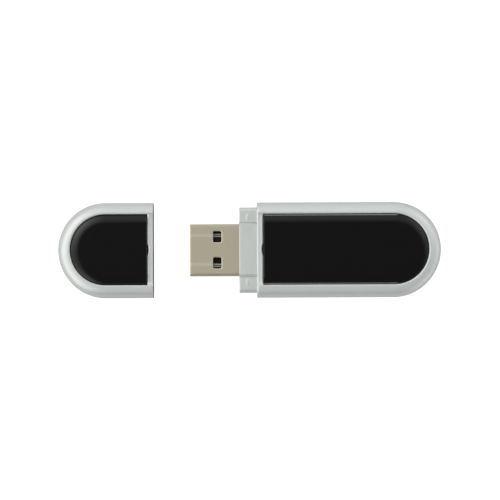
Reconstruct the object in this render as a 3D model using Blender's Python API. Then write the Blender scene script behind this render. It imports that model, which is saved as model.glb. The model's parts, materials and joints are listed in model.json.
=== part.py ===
"""USB flash drive with a pull-off cap, as an assembly of separate solids.

The drive lies on its back with the cap pulled off in line with it. +X runs from the cap, past the
plug, to the round end of the body, and +Z is up. The origin is under the middle of the whole object,
on the surface that it lies on.

Two empties hold the assembly. Each sits in the middle of a sleeve's open end, with its own +X into the
sleeve, so the body and the cap share one set of functions: u is the distance into the sleeve, v is
across it, and h is the height above its middle plane. The cap's empty is on the line that the cap
slides along.
"""

import math

import bmesh
import bpy
from mathutils import Vector

MM = 0.001

# Overall sizes
WIDTH = 22.0 * MM
THICKNESS = 9.0 * MM
BODY_LENGTH = 42.8 * MM
CAP_LENGTH = 22.2 * MM
CAP_GAP = 8.4 * MM  # free space between the pulled-off cap and the tip of the plug

# Sleeves: the silver housings of the body and the cap
END_RADIUS = WIDTH / 2
HALF_THICKNESS = THICKNESS / 2
EDGE_RUN = 2.3 * MM  # how far the rounding of the long edges reaches inwards
EDGE_DROP = 2.1 * MM  # and how far it reaches down the side
SIDE_WALL = 1.02 * MM
CAVITY_HALF_HEIGHT = 3.0 * MM
CAVITY_CORNER = 0.8 * MM
WEB = 0.6 * MM  # the floor between a sleeve's cavity and its inlay
RAIL = 2.75 * MM  # width of the silver frame around an inlay
END_BAR = 1.45 * MM  # width of the frame's bar along the open end
BAR_STEP = 0.3 * MM  # the bar lies this much lower than the rails
BAR_FILLET = 1.3 * MM
LIP = 0.2 * MM  # chamfer around the inlay's opening
NOTCH_WIDTH = 3.0 * MM  # shallow scoop in the bar, to free the inlay
NOTCH_DEPTH = 0.35 * MM

# Inlays: the glossy black panels and the films that hold them
FIT = 0.08 * MM  # between an inlay and its opening
FACE_GAP = 0.02 * MM  # between faces that lie on each other
FILM = 0.12 * MM
FILM_MARGIN = 0.8 * MM
PANEL_EDGE_DROP = 0.48 * MM  # an inlay's rim lies this much lower than the rails
PANEL_FACE_DROP = 0.1 * MM  # and its flat face this much
PANEL_SLOPE = 1.55 * MM  # width of the border that slopes down to the rails
PANEL_CORNER = 0.25 * MM

# Neck: the front of the inner carrier, which the cap slides over
NECK_LENGTH = 4.1 * MM
NECK_HALF_WIDTH = 9.9 * MM
EAR_HEIGHT = 2.45 * MM
EAR_CORNER = 0.9 * MM
SADDLE_HEIGHT = 2.9 * MM  # the raised middle, over the plug
SADDLE_HALF_WIDTH = 6.15 * MM
SADDLE_SLOPE = 0.4 * MM
NECK_CHAMFER = 0.22 * MM
NUB_U = -2.35 * MM
NUB_V = 7.8 * MM
NUB_HALF = (0.36 * MM, 0.85 * MM, 0.47 * MM)

# Carrier: two trays that hold the plug and the board inside the body sleeve
CARRIER_PLAY = 0.1 * MM
CARRIER_FRONT = 0.1 * MM
BOARD_BAY_END = 36.2 * MM
BOARD_BAY_HALF_WIDTH = 7.4 * MM
BAY_HEIGHT = 2.3 * MM
LEDGE_HALF_WIDTH = 6.4 * MM
PIN_RADIUS = 0.7 * MM
PIN_REACH = 1.3 * MM
PIN_PLACES = (
    (38.9 * MM, 4.4 * MM),
    (38.9 * MM, -4.4 * MM),
    (1.7 * MM, 8.1 * MM),
    (1.7 * MM, -8.1 * MM),
)
SNAP_U = 30.0 * MM
SNAP_LENGTH = 1.8 * MM
SNAP_DEPTH = 0.15 * MM

# Plug: the standard series A size
PLUG_WIDTH = 12.0 * MM
PLUG_HEIGHT = 4.5 * MM
PLUG_REACH = 11.5 * MM  # in front of the neck
PLUG_LENGTH = 18.75 * MM
PLUG_CORNER = 0.6 * MM
PLUG_WALL = 0.3 * MM
WINDOW_SET_BACK = 5.4 * MM
WINDOW_SIZE = (1.95 * MM, 2.5 * MM)
WINDOW_V = 3.05 * MM
SEAM = 0.08 * MM
TAB_LENGTH = 2.2 * MM
TAB_HEIGHT = 1.2 * MM
POCKET_PLAY = 0.03 * MM

# Contacts and the tongue that carries them
TONGUE_SET_BACK = 0.5 * MM
TONGUE_TOP = -0.12 * MM
BLOCK_SET_BACK = 10.0 * MM
CONTACT_WIDTH = 0.8 * MM
CONTACT_THICKNESS = 0.2 * MM
CONTACT_TOP = -0.07 * MM
TAIL_END = 5.2 * MM
CONTACTS = (
    ("contact_power", -3.5 * MM, 1.3 * MM),
    ("contact_data_minus", -1.0 * MM, 2.3 * MM),
    ("contact_data_plus", 1.0 * MM, 2.3 * MM),
    ("contact_ground", 3.5 * MM, 1.3 * MM),
)

# Board and what is soldered to it
BOARD_TOP = -0.3 * MM
BOARD_THICKNESS = 1.0 * MM
BOARD_FRONT = 3.25 * MM
BOARD_BACK = 36.0 * MM
BOARD_HALF_WIDTH = 7.25 * MM
# Place and radius of the half-round notches that fit over the carrier's ribs
BOARD_NOTCH = (33.4 * MM, 0.7 * MM)
STAND_OFF = 0.03 * MM
LEAD_WIDTH = 0.24 * MM
LEAD_THICKNESS = 0.15 * MM

ARC_STEPS = 28
ROUND_STEPS = 4
PIN_STEPS = 16
SCOOP_STEPS = 72

# Where things are along X
OVERALL = CAP_LENGTH + CAP_GAP + PLUG_REACH + NECK_LENGTH + BODY_LENGTH
MOUTH_OF_CAP_X = CAP_LENGTH - OVERALL / 2
SHOULDER_X = OVERALL / 2 - BODY_LENGTH
PLUG_TIP_U = -(PLUG_REACH + NECK_LENGTH)

MATERIALS = {
    "silver_plastic": ((0.56, 0.58, 0.57), 0.36, 0.55),
    "gloss_black": ((0.006, 0.006, 0.006), 0.06, 0.0),
    "plug_steel": ((0.55, 0.52, 0.43), 0.32, 1.0),
    "insulator_black": ((0.015, 0.015, 0.015), 0.5, 0.0),
    "contact_gold": ((0.83, 0.62, 0.28), 0.22, 1.0),
    "board_green": ((0.02, 0.16, 0.07), 0.4, 0.0),
    "chip_epoxy": ((0.02, 0.02, 0.022), 0.55, 0.0),
    "can_metal": ((0.66, 0.66, 0.65), 0.25, 1.0),
    "capacitor_ceramic": ((0.42, 0.29, 0.17), 0.5, 0.0),
    "resistor_ceramic": ((0.03, 0.03, 0.03), 0.45, 0.0),
    "film_white": ((0.8, 0.8, 0.77), 0.7, 0.0),
}


# Building blocks


def material(slot):
    """The material of that slot, made the first time it is asked for."""
    found = bpy.data.materials.get(slot)
    if found:
        return found
    colour, roughness, metallic = MATERIALS[slot]
    made = bpy.data.materials.new(slot)
    made.use_nodes = True
    shader = made.node_tree.nodes["Principled BSDF"]
    shader.inputs["Base Color"].default_value = (*colour, 1.0)
    shader.inputs["Roughness"].default_value = roughness
    shader.inputs["Metallic"].default_value = metallic
    return made


def solid(name, rings, slot=None, parent=None):
    """A closed body through a stack of outlines with the same number of points, capped at both ends."""
    mesh = bpy.data.meshes.new(name)
    bm = bmesh.new()
    loops = [[bm.verts.new(point) for point in ring] for ring in rings]
    for low, high in zip(loops, loops[1:]):
        for i in range(len(low)):
            j = (i + 1) % len(low)
            bm.faces.new((low[i], low[j], high[j], high[i]))
    bm.faces.new(loops[0][::-1])
    bm.faces.new(loops[-1])
    bmesh.ops.recalc_face_normals(bm, faces=bm.faces)
    bm.to_mesh(mesh)
    bm.free()
    return placed(name, mesh, slot, parent)


def placed(name, mesh, slot=None, parent=None):
    """An object of that mesh. With no slot it is a tool for a Boolean, which no render shows."""
    obj = bpy.data.objects.new(name, mesh)
    bpy.context.scene.collection.objects.link(obj)
    obj.parent = parent
    if slot:
        if not mesh.materials:
            mesh.materials.append(material(slot))
        mesh.shade_smooth()
        mesh.set_sharp_from_angle(angle=math.radians(35))
    else:
        obj.hide_render = True
        obj.display_type = "WIRE"
    return obj


def block(name, low, high, slot=None, parent=None):
    """A box between two corners."""
    rings = [
        [(low[0], low[1], h), (high[0], low[1], h), (high[0], high[1], h), (low[0], high[1], h)]
        for h in (low[2], high[2])
    ]
    return solid(name, rings, slot, parent)


def change(obj, operation, *tools):
    """Cuts the tools from obj, or joins them to it."""
    for tool in tools:
        tool.parent = obj
        modifier = obj.modifiers.new(f"{operation.lower()} {tool.name}", "BOOLEAN")
        modifier.operation = operation
        modifier.object = tool
    return obj


def cut(obj, *tools):
    return change(obj, "DIFFERENCE", *tools)


def join(obj, *tools):
    return change(obj, "UNION", *tools)


def turned_over(name, obj):
    """The same mesh on the other face of the drive: a half turn about the long axis."""
    copy = bpy.data.objects.new(name, obj.data)
    bpy.context.scene.collection.objects.link(copy)
    copy.parent = obj.parent
    copy.rotation_euler.x = math.pi
    return copy


def d_outline(flat_u, centre_u, radius, h, corner=0.0):
    """A D in plan: a straight end at flat_u, straight sides, and a half-circle about centre_u.

    With a corner radius, the two corners at the straight end are rounded.
    """
    arc = [math.pi * i / ARC_STEPS for i in range(ARC_STEPS + 1)]
    points = [(centre_u + radius * math.sin(a), -radius * math.cos(a), h) for a in arc]
    if not corner:
        return [(flat_u, -radius, h), *points, (flat_u, radius, h)]
    quarter = [math.pi / 2 * i / ROUND_STEPS for i in range(ROUND_STEPS + 1)]
    lower = [
        (flat_u + corner - corner * math.cos(a), -radius + corner - corner * math.sin(a), h)
        for a in quarter
    ]
    upper = [(u, -v, h) for u, v, h in reversed(lower)]
    return [*lower, *points, *upper]


def cylinder(name, centre, radius, low, high, steps=PIN_STEPS):
    """An upright cylinder between two heights."""
    turns = [2 * math.pi * i / steps for i in range(steps)]
    circle = [(centre[0] + radius * math.cos(a), centre[1] + radius * math.sin(a)) for a in turns]
    return solid(name, [[(u, v, h) for u, v in circle] for h in (low, high)])


def rounded_section(u, half_width, half_height, corner):
    """A rectangle with round corners across the drive, at u."""
    points = []
    for turn, (v, h) in enumerate(((1, -1), (1, 1), (-1, 1), (-1, -1))):
        for i in range(ROUND_STEPS + 1):
            a = math.pi / 2 * (turn - 1 + i / ROUND_STEPS)
            points.append(
                (
                    u,
                    v * (half_width - corner) + corner * math.cos(a),
                    h * (half_height - corner) + corner * math.sin(a),
                )
            )
    return points


# Sleeves and inlays, used for the body and for the cap


def edge_profile(half_height, run, drop):
    """(inset, height) up the side of a flat body, its edges rounded by a quarter of an ellipse."""
    quarter = [math.pi / 2 * i / ROUND_STEPS for i in range(ROUND_STEPS + 1)]
    upper = [
        (run * (1 - math.cos(a)), half_height - drop * (1 - math.sin(a))) for a in quarter
    ]
    return [(inset, -h) for inset, h in reversed(upper)] + upper


def sleeve(name, parent, length):
    """One silver housing: a flat hollow D, open at its straight end, with a recess in each face."""
    centre = length - END_RADIUS
    outer = [
        d_outline(0.0, centre, END_RADIUS - inset, h)
        for inset, h in edge_profile(HALF_THICKNESS, EDGE_RUN, EDGE_DROP)
    ]
    housing = solid(name, outer, "silver_plastic", parent)

    cavity_radius = END_RADIUS - SIDE_WALL
    cavity = [
        d_outline(-1 * MM, centre, cavity_radius - inset, h)
        for inset, h in edge_profile(CAVITY_HALF_HEIGHT, CAVITY_CORNER, CAVITY_CORNER)
    ]
    cut(housing, solid(f"{name} cavity", cavity))

    seat = CAVITY_HALF_HEIGHT + WEB
    opening = [
        (0.0, seat),
        (0.0, HALF_THICKNESS - LIP),
        (LIP, HALF_THICKNESS),
        (LIP, HALF_THICKNESS + 1 * MM),
    ]
    recess = [
        d_outline(END_BAR - grow, centre, END_RADIUS - RAIL + grow, h, PANEL_CORNER + grow)
        for grow, h in opening
    ]
    scoop_radius = (NOTCH_WIDTH**2 / 4 + NOTCH_DEPTH**2) / (2 * NOTCH_DEPTH)
    scoop_centre = (END_BAR - NOTCH_DEPTH + scoop_radius, 0.0)
    scoop = (scoop_centre, scoop_radius, seat + 0.05 * MM, HALF_THICKNESS + 1 * MM, SCOOP_STEPS)
    for face, turn in (("top", 0.0), ("bottom", math.pi)):
        tools = [
            solid(f"{name} {face} recess", recess),
            bar_trough(f"{name} {face} trough"),
            cylinder(f"{name} {face} scoop", *scoop),
        ]
        for tool in tools:
            tool.rotation_euler.x = turn
        cut(housing, *tools)
    return housing


def bar_trough(name):
    """Lowers the bar between the rails, with a concave fillet up to each rail."""
    half = END_RADIUS - RAIL + 0.75 * LIP
    floor = HALF_THICKNESS - BAR_STEP
    quarter = [math.pi / 2 * i / ROUND_STEPS for i in range(ROUND_STEPS + 1)]
    side = [
        (half + BAR_FILLET * math.sin(a) - BAR_FILLET, floor + BAR_STEP * (1 - math.cos(a)))
        for a in quarter
    ]
    top = (half + 0.02 * MM, HALF_THICKNESS + 1 * MM)
    right = [*side, top]
    left = [(-v, h) for v, h in reversed(right)]
    return solid(name, [[(u, v, h) for v, h in [*left, *right]] for u in (-1 * MM, END_BAR + 0.5 * MM)])


def inlay(name, parent, length):
    """A glossy panel for the upper face, flat but for a border that slopes down to the rails.

    The border follows the rails only: along the bar the panel keeps its full height.
    """
    centre = length - END_RADIUS
    rim = HALF_THICKNESS - PANEL_EDGE_DROP
    face = HALF_THICKNESS - PANEL_FACE_DROP
    underside = CAVITY_HALF_HEIGHT + WEB + FILM + 2 * FACE_GAP
    blend = 0.1
    profile = [
        (0.0, underside),
        (0.0, rim),
        (0.04 * PANEL_SLOPE, rim + 0.12 * (face - rim)),
        ((1 - blend) * PANEL_SLOPE, face - 0.05 * (face - rim)),
        (PANEL_SLOPE, face),
    ]
    radius = END_RADIUS - RAIL - FIT
    rings = [
        d_outline(END_BAR + FIT, centre, radius - inset, h, PANEL_CORNER - FIT / 2)
        for inset, h in profile
    ]
    return solid(name, rings, "gloss_black", parent)


def film(name, parent, length):
    """The adhesive film under an inlay."""
    centre = length - END_RADIUS
    seat = CAVITY_HALF_HEIGHT + WEB
    rings = [
        d_outline(END_BAR + FILM_MARGIN, centre, END_RADIUS - RAIL - FILM_MARGIN, h)
        for h in (seat + FACE_GAP, seat + FACE_GAP + FILM)
    ]
    return solid(name, rings, "film_white", parent)


def housing_with_inlays(label, parent, length):
    """A sleeve with a panel and a film in each face."""
    housing = sleeve(f"{label}_sleeve", parent, length)
    panel = inlay(f"{label}_top_panel", parent, length)
    turned_over(f"{label}_bottom_panel", panel)
    adhesive = film(f"{label}_top_adhesive", parent, length)
    turned_over(f"{label}_bottom_adhesive", adhesive)
    return housing


# Carrier and neck


def neck_section(u, shrink):
    """Upper half of the neck's section: an ear on each side of the raised saddle over the plug."""
    half = NECK_HALF_WIDTH - shrink
    ear = EAR_HEIGHT - shrink
    saddle = SADDLE_HEIGHT - shrink
    saddle_half = SADDLE_HALF_WIDTH - shrink
    corner = EAR_CORNER
    quarter = [math.pi / 2 * i / ROUND_STEPS for i in range(ROUND_STEPS + 1)]
    right = [(half, 0.0)]
    right += [(half - corner * (1 - math.cos(a)), ear - corner * (1 - math.sin(a))) for a in quarter]
    right += [(saddle_half + SADDLE_SLOPE, ear), (saddle_half, saddle)]
    left = [(-v, h) for v, h in reversed(right)]
    return [(u, v, h + FACE_GAP) for v, h in [*right, *left]]


def carrier_half(name, parent):
    """The upper half of the carrier: a tray inside the sleeve, with half of the neck in front of it."""
    radius = END_RADIUS - SIDE_WALL - CARRIER_PLAY
    centre = BODY_LENGTH - END_RADIUS
    height = CAVITY_HALF_HEIGHT - CARRIER_PLAY
    shape = edge_profile(height, CAVITY_CORNER, CAVITY_CORNER)
    upper = [(inset, h) for inset, h in shape if h > 0]
    levels = [(0.0, FACE_GAP), *upper]
    tray = solid(
        name,
        [d_outline(CARRIER_FRONT, centre, radius - inset, h) for inset, h in levels],
        "silver_plastic",
        parent,
    )
    front = -NECK_LENGTH
    steps = ((front, NECK_CHAMFER), (front + NECK_CHAMFER, 0.0), (CARRIER_FRONT + 0.5 * MM, 0.0))
    join(tray, solid(f"{name} neck", [neck_section(u, shrink) for u, shrink in steps]))
    for side in (-1, 1):
        join(tray, nub(f"{name} nub {side}", side * NUB_V))

    plug_back = PLUG_TIP_U + PLUG_LENGTH
    pocket_half = PLUG_WIDTH / 2 + POCKET_PLAY
    pocket_height = PLUG_HEIGHT / 2 + POCKET_PLAY
    cut(
        tray,
        block(
            f"{name} plug pocket",
            (front - 1 * MM, -pocket_half, -1 * MM),
            (plug_back + 0.3 * MM, pocket_half, pocket_height),
        ),
    )
    return tray


def nub(name, v):
    """A low friction nub on an ear: the upper half of an ellipsoid."""
    levels = [math.radians(d) for d in (-50, -20, 10, 35, 58, 78)]
    rings = [
        [
            (
                NUB_U + NUB_HALF[0] * math.cos(level) * math.cos(2 * math.pi * i / PIN_STEPS),
                v + NUB_HALF[1] * math.cos(level) * math.sin(2 * math.pi * i / PIN_STEPS),
                EAR_HEIGHT + NUB_HALF[2] * math.sin(level),
            )
            for i in range(PIN_STEPS)
        ]
        for level in levels
    ]
    return solid(name, rings)


def carrier(parent):
    """Both halves: the base with the board's ledge, pins and snaps, and the cover with sockets."""
    bay_front = PLUG_TIP_U + PLUG_LENGTH + 0.1 * MM
    bay_half = BOARD_BAY_HALF_WIDTH

    cover = carrier_half("carrier_cover", parent)
    cut(
        cover,
        block("cover bay", (bay_front, -bay_half, -1 * MM), (BOARD_BAY_END, bay_half, BAY_HEIGHT)),
    )
    socket_radius, socket_end = PIN_RADIUS + POCKET_PLAY * 2, PIN_REACH + 0.15 * MM
    for i, place in enumerate(PIN_PLACES):
        cut(cover, cylinder(f"socket {i}", place, socket_radius, -1 * MM, socket_end))

    base = carrier_half("carrier_base", parent)
    base.rotation_euler.x = math.pi
    ledge = -BOARD_TOP + BOARD_THICKNESS + STAND_OFF
    tools = [
        block("base bay", (bay_front, -bay_half, -1 * MM), (BOARD_BAY_END, bay_half, ledge)),
        block(
            "base relief",
            (bay_front, -LEDGE_HALF_WIDTH, -1 * MM),
            (BOARD_BAY_END - 1 * MM, LEDGE_HALF_WIDTH, BAY_HEIGHT),
        ),
    ]
    additions = [
        cylinder(f"pin {i}", place, PIN_RADIUS, -PIN_REACH, 1 * MM)
        for i, place in enumerate(PIN_PLACES)
    ]
    rib_u, rib_radius = BOARD_NOTCH
    for side in (-1, 1):
        outer = side * (END_RADIUS - SIDE_WALL - CARRIER_PLAY)
        snap = sorted((outer - side * 0.5 * MM, outer + side * SNAP_DEPTH))
        rib = (rib_u, side * (bay_half + 0.15 * MM))
        additions += [
            cylinder(f"rib {side}", rib, rib_radius - 0.1 * MM, 0.2 * MM, ledge + 0.2 * MM),
            block(
                f"snap {side}",
                (SNAP_U - SNAP_LENGTH / 2, snap[0], 0.3 * MM),
                (SNAP_U + SNAP_LENGTH / 2, snap[1], 1.5 * MM),
            ),
        ]
    cut(base, *tools)
    join(base, *additions)


def snap_pockets(parent, housing):
    """Pockets in the body sleeve's side walls that the carrier's snaps click into."""
    room = 0.1 * MM
    for side in (-1, 1):
        wall = side * (END_RADIUS - SIDE_WALL)
        v = sorted((wall - side * 0.5 * MM, wall + side * (SNAP_DEPTH - CARRIER_PLAY + room)))
        cut(
            housing,
            block(
                f"snap pocket {side}",
                (SNAP_U - SNAP_LENGTH / 2 - room, v[0], -1.5 * MM - room),
                (SNAP_U + SNAP_LENGTH / 2 + room, v[1], -0.3 * MM + room),
            ),
        )


# Plug


def plug_shell(parent):
    """A folded steel tube with four windows, a seam along its underside and two solder tabs behind."""
    tip, back = PLUG_TIP_U, PLUG_TIP_U + PLUG_LENGTH
    half, tall = PLUG_WIDTH / 2, PLUG_HEIGHT / 2
    tab_end = back + TAB_LENGTH
    nose = 0.12 * MM
    outside = ((tip, nose), (tip + nose, 0.0), (tab_end, 0.0))
    shell = solid(
        "plug_shell",
        [rounded_section(u, half - inset, tall - inset, PLUG_CORNER) for u, inset in outside],
        "plug_steel",
        parent,
    )
    bore = [
        rounded_section(u, half - PLUG_WALL, tall - PLUG_WALL, PLUG_CORNER - PLUG_WALL)
        for u in (tip - 1 * MM, tab_end + 1 * MM)
    ]
    cut(shell, solid("plug bore", bore))
    for i, (v, h) in enumerate(((-1, -1), (1, -1), (-1, 1), (1, 1))):
        low = (tip + WINDOW_SET_BACK, v * WINDOW_V - WINDOW_SIZE[1] / 2, h * tall - 0.6 * MM)
        high = (low[0] + WINDOW_SIZE[0], v * WINDOW_V + WINDOW_SIZE[1] / 2, h * tall + 0.6 * MM)
        cut(shell, block(f"window {i}", low, high))

    side, end = half + 1 * MM, tab_end + 1 * MM
    cut(
        shell,
        block("tab upper trim", (back, -side, TAB_HEIGHT), (end, side, tall + 1 * MM)),
        block("tab lower trim", (back, -side, -tall - 1 * MM), (end, side, BOARD_TOP + STAND_OFF)),
        seam_cutter(tip, back, tall),
    )
    return shell


def seam_cutter(tip, back, tall):
    """A ribbon as wide as the gap in the folded sheet, with the dovetail that locks the two edges."""
    middle = tip + 9.3 * MM
    key = 0.8 * MM
    route = (
        (tip - 1 * MM, 0.0),
        (middle - 0.6 * key, 0.0),
        (middle - key, key),
        (middle + key, key),
        (middle + 0.6 * key, 0.0),
        (back + 1 * MM, 0.0),
    )
    outline = ribbon([Vector(point) for point in route], SEAM / 2)
    return solid("seam", [[(u, v, h) for u, v in outline] for h in (-tall - 1 * MM, -tall + 0.6 * MM)])


def ribbon(route, half_width):
    """The outline around a bent line, mitred at its bends."""
    left, right = [], []
    for i, point in enumerate(route):
        arriving = (point - route[i - 1]) if i else (route[1] - point)
        leaving = (route[i + 1] - point) if i + 1 < len(route) else arriving
        normals = [Vector((-step.y, step.x)).normalized() for step in (arriving, leaving)]
        mitre = (normals[0] + normals[1]).normalized()
        offset = mitre * (half_width / mitre.dot(normals[0]))
        left.append(point + offset)
        right.append(point - offset)
    return [*right, *reversed(left)]


def plug_insulator(parent):
    """The tongue with a groove for each contact, and the block behind it that holds them."""
    half = PLUG_WIDTH / 2 - PLUG_WALL - POCKET_PLAY
    tall = PLUG_HEIGHT / 2 - PLUG_WALL - POCKET_PLAY
    front = PLUG_TIP_U + TONGUE_SET_BACK
    block_front = PLUG_TIP_U + BLOCK_SET_BACK
    back = PLUG_TIP_U + PLUG_LENGTH
    bevel = 0.3 * MM
    corner = PLUG_CORNER - PLUG_WALL
    sections = [rounded_section(u, half, tall, corner) for u in (front, back)]
    tongue = solid("plug_insulator", sections, "insulator_black", parent)
    space = (
        (front - 1 * MM, TONGUE_TOP - bevel - 1 * MM),
        (front + bevel, TONGUE_TOP),
        (block_front, TONGUE_TOP),
        (block_front, tall + 1 * MM),
        (front - 1 * MM, tall + 1 * MM),
    )
    side = half + 1 * MM
    above = [[(u, v, h) for u, h in space] for v in (side, -side)]
    cut(tongue, solid("space over the tongue", above))
    room = 0.03 * MM
    low = CONTACT_TOP - CONTACT_THICKNESS - room
    for name, v, set_back in CONTACTS:
        groove_half = CONTACT_WIDTH / 2 + room
        cut(
            tongue,
            block(
                f"{name} groove",
                (PLUG_TIP_U + set_back - room, v - groove_half, low),
                (back + 1 * MM, v + groove_half, CONTACT_TOP + room),
            ),
        )
    return tongue


def contacts(parent):
    """Four flat contacts that lie in the tongue's grooves. The outer two reach further forwards."""
    for name, v, set_back in CONTACTS:
        front = PLUG_TIP_U + set_back
        low = CONTACT_TOP - CONTACT_THICKNESS
        slope = 0.12 * MM
        profile = ((front, low), (TAIL_END, low), (TAIL_END, CONTACT_TOP), (front + slope, CONTACT_TOP))
        sides = (v + CONTACT_WIDTH / 2, v - CONTACT_WIDTH / 2)
        solid(name, [[(u, side, h) for u, h in profile] for side in sides], "contact_gold", parent)


# Board


def circuit_board(parent):
    """The board, with a half-round notch in each long edge for the carrier's ribs."""
    bottom = BOARD_TOP - BOARD_THICKNESS
    board = block(
        "circuit_board",
        (BOARD_FRONT, -BOARD_HALF_WIDTH, bottom),
        (BOARD_BACK, BOARD_HALF_WIDTH, BOARD_TOP),
        "board_green",
        parent,
    )
    notch_u, radius = BOARD_NOTCH
    for side in (-1, 1):
        centre = (notch_u, side * (BOARD_BAY_HALF_WIDTH + 0.15 * MM))
        cut(board, cylinder(f"board notch {side}", centre, radius, bottom - 1 * MM, BOARD_TOP + 1 * MM))
    return board


def leads(name, across, reach, foot, body_height, count, pitch, along_u, centre):
    """Two rows of bent leads as one tool, from inside the package's sides down to the board."""
    floor = BOARD_TOP + STAND_OFF
    waist = floor + body_height / 2
    thick = LEAD_THICKNESS
    profile = (
        (across - 0.3 * MM, waist),
        (across - 0.3 * MM, waist - thick),
        (reach - foot, waist - thick),
        (reach - foot, floor),
        (reach, floor),
        (reach, floor + thick),
        (reach - foot + thick, floor + thick),
        (reach - foot + thick, waist),
    )
    mesh = bpy.data.meshes.new(name)
    bm = bmesh.new()
    for side in (-1, 1):
        for i in range(count):
            middle = (i - (count - 1) / 2) * pitch
            ends = []
            for edge in (middle - LEAD_WIDTH / 2, middle + LEAD_WIDTH / 2):
                points = []
                for out, h in profile:
                    u, v = (side * out, edge) if along_u else (edge, side * out)
                    points.append(bm.verts.new((centre[0] + u, centre[1] + v, h)))
                ends.append(points)
            for j in range(len(profile)):
                k = (j + 1) % len(profile)
                bm.faces.new((ends[0][j], ends[0][k], ends[1][k], ends[1][j]))
            bm.faces.new(ends[0][::-1])
            bm.faces.new(ends[1])
    bmesh.ops.recalc_face_normals(bm, faces=bm.faces)
    bm.to_mesh(mesh)
    bm.free()
    return placed(name, mesh)


def package(name, parent, centre, half_u, half_v, height):
    """A moulded chip body with drafted sides, just above the board."""
    floor = BOARD_TOP + STAND_OFF + 0.1 * MM
    draft = 0.1 * MM
    rings = []
    for h, inset in ((floor, draft), (floor + height / 2, 0.0), (floor + height, draft)):
        u, v = half_u - inset, half_v - inset
        rings.append(
            [
                (centre[0] - u, centre[1] - v, h),
                (centre[0] + u, centre[1] - v, h),
                (centre[0] + u, centre[1] + v, h),
                (centre[0] - u, centre[1] + v, h),
            ]
        )
    return solid(name, rings, "chip_epoxy", parent)


def chips(parent):
    """The controller, the memory and a small regulator, each with its leads."""
    centre = (10.9 * MM, 0.0)
    half, reach, height = 3.5 * MM, 4.5 * MM, 1.4 * MM
    controller = package("controller_chip", parent, centre, half, half, height)
    for along_u in (True, False):
        row = leads(
            f"controller leads {along_u}", half, reach, 0.55 * MM, height, 12, 0.5 * MM, along_u, centre
        )
        join(controller, row)

    centre = (25.8 * MM, 0.0)
    half_u, half_v, reach, height = 9.2 * MM, 6.0 * MM, 10.0 * MM, 1.0 * MM
    memory = package("flash_chip", parent, centre, half_u, half_v, height)
    join(memory, leads("memory leads", half_u, reach, 0.5 * MM, height, 24, 0.5 * MM, True, centre))

    centre = (7.3 * MM, 5.7 * MM)
    half_u, half_v, reach, height = 1.4 * MM, 0.5 * MM, 1.0 * MM, 0.9 * MM
    regulator = package("voltage_regulator", parent, centre, half_u, half_v, height)
    row = leads("regulator leads", half_v, reach, 0.3 * MM, height, 2, 1.9 * MM, False, centre)
    join(regulator, row)


def chip_part(name, parent, slot, centre, half_size, along_u, underside=False):
    """A capacitor or resistor: a small block whose two end caps stand a little proud."""
    length, width, height = half_size
    cap, step = 0.3 * MM, 0.03 * MM
    floor = BOARD_TOP + STAND_OFF
    if underside:
        floor = BOARD_TOP - BOARD_THICKNESS - STAND_OFF - 2 * height
    stations = (
        (-length, 0.0),
        (-length + cap, 0.0),
        (-length + cap, step),
        (length - cap, step),
        (length - cap, 0.0),
        (length, 0.0),
    )
    rings = []
    for along, inset in stations:
        section = (
            (-width + inset, floor + inset),
            (width - inset, floor + inset),
            (width - inset, floor + 2 * height - inset),
            (-width + inset, floor + 2 * height - inset),
        )
        if along_u:
            rings.append([(centre[0] + along, centre[1] + side, h) for side, h in section])
        else:
            rings.append([(centre[0] + side, centre[1] + along, h) for side, h in section])
    return solid(name, rings, slot, parent)


def small_parts(parent):
    """Capacitors and resistors beside the controller, and the crystal with its pair under the board."""
    capacitor_half = (0.8 * MM, 0.4 * MM, 0.4 * MM)
    resistor_half = (0.8 * MM, 0.4 * MM, 0.23 * MM)
    capacitor_places = (
        (10.6 * MM, 5.9 * MM, False),
        (13.4 * MM, 5.9 * MM, False),
        (7.0 * MM, -5.6 * MM, False),
        (13.4 * MM, -5.9 * MM, False),
        (15.0 * MM, 3.4 * MM, True),
        (15.0 * MM, -3.4 * MM, True),
    )
    for i, (u, v, under) in enumerate(capacitor_places, 1):
        name = f"capacitor_{i}"
        chip_part(name, parent, "capacitor_ceramic", (u, v), capacitor_half, not under, under)
    resistor_places = (
        (9.6 * MM, -5.9 * MM),
        (11.5 * MM, -5.9 * MM),
        (14.9 * MM, 5.9 * MM),
        (14.9 * MM, -5.9 * MM),
    )
    for i, place in enumerate(resistor_places, 1):
        chip_part(f"resistor_{i}", parent, "resistor_ceramic", place, resistor_half, False)

    top = BOARD_TOP - BOARD_THICKNESS - STAND_OFF
    base, lid = (2.5 * MM, 1.6 * MM), (2.2 * MM, 1.3 * MM)
    levels = ((top, base), (top - 0.35 * MM, base), (top - 0.35 * MM, lid), (top - 0.8 * MM, lid))
    centre = (15.0 * MM, 0.0)
    rings = [
        [
            (centre[0] - u, centre[1] - v, h),
            (centre[0] + u, centre[1] - v, h),
            (centre[0] + u, centre[1] + v, h),
            (centre[0] - u, centre[1] + v, h),
        ]
        for h, (u, v) in levels
    ]
    solid("crystal", rings, "can_metal", parent)


def empty(name, x, turn=0.0):
    """A parent in the middle of a sleeve's open end."""
    obj = bpy.data.objects.new(name, None)
    bpy.context.scene.collection.objects.link(obj)
    obj.location = (x, 0.0, HALF_THICKNESS)
    obj.rotation_euler.z = turn
    return obj


def main():
    for obj in list(bpy.data.objects):
        bpy.data.objects.remove(obj)
    body = empty("body origin", SHOULDER_X)
    housing = housing_with_inlays("body", body, BODY_LENGTH)
    snap_pockets(body, housing)
    carrier(body)
    plug_shell(body)
    plug_insulator(body)
    contacts(body)
    circuit_board(body)
    chips(body)
    small_parts(body)
    cap = empty("cap origin", MOUTH_OF_CAP_X, math.pi)
    housing_with_inlays("cap", cap, CAP_LENGTH)


main()
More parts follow.
